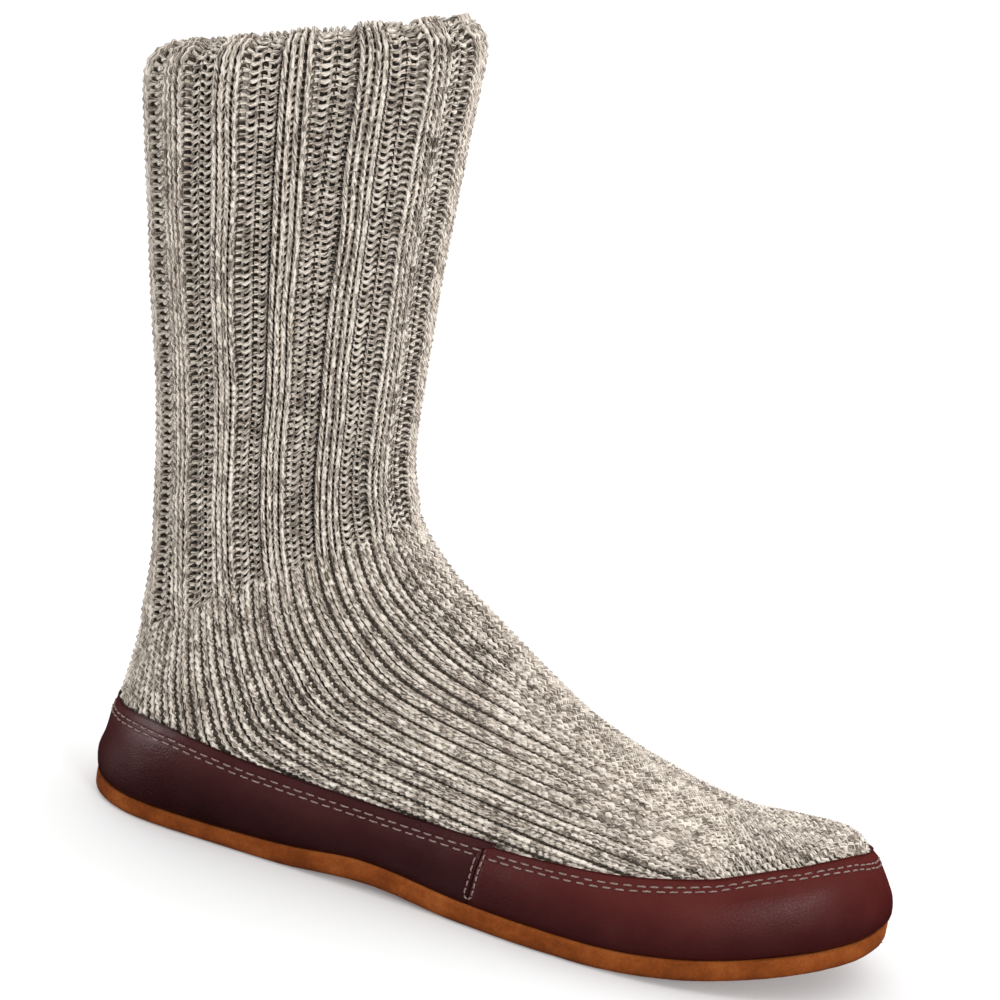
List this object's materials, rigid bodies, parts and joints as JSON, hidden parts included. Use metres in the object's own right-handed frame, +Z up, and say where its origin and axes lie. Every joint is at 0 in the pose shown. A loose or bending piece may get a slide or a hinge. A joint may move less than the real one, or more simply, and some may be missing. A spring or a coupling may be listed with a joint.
{
  "type": "slipper sock",
  "caption": "Knitted slipper sock with a ribbed leg, a stitched leather rand round the foot and a suede sole.",
  "frame": {"origin": "on the floor, under the middle of the bounding box", "axes": "+X to the toe, +Z up, -Y to the inner side of the foot"},
  "size_m": [0.2901, 0.1053, 0.281],
  "materials": {
    "wool_knit": "marled cream, grey and dark brown wool, ribbed leg and plain foot, matte",
    "rand_leather": "smooth oxblood leather with a soft sheen and fine grain",
    "sole_suede": "tan orange suede, matte, with a short nap",
    "footbed": "brushed fleece footbed, matte",
    "thread": "pale pinkish grey stitching thread"
  },
  "bodies": {
    "root": {"upper": "wool_knit", "rand_heel": "rand_leather", "rand_toe": "rand_leather", "outsole": "sole_suede", "insole": "footbed"}
  },
  "joints": []
}
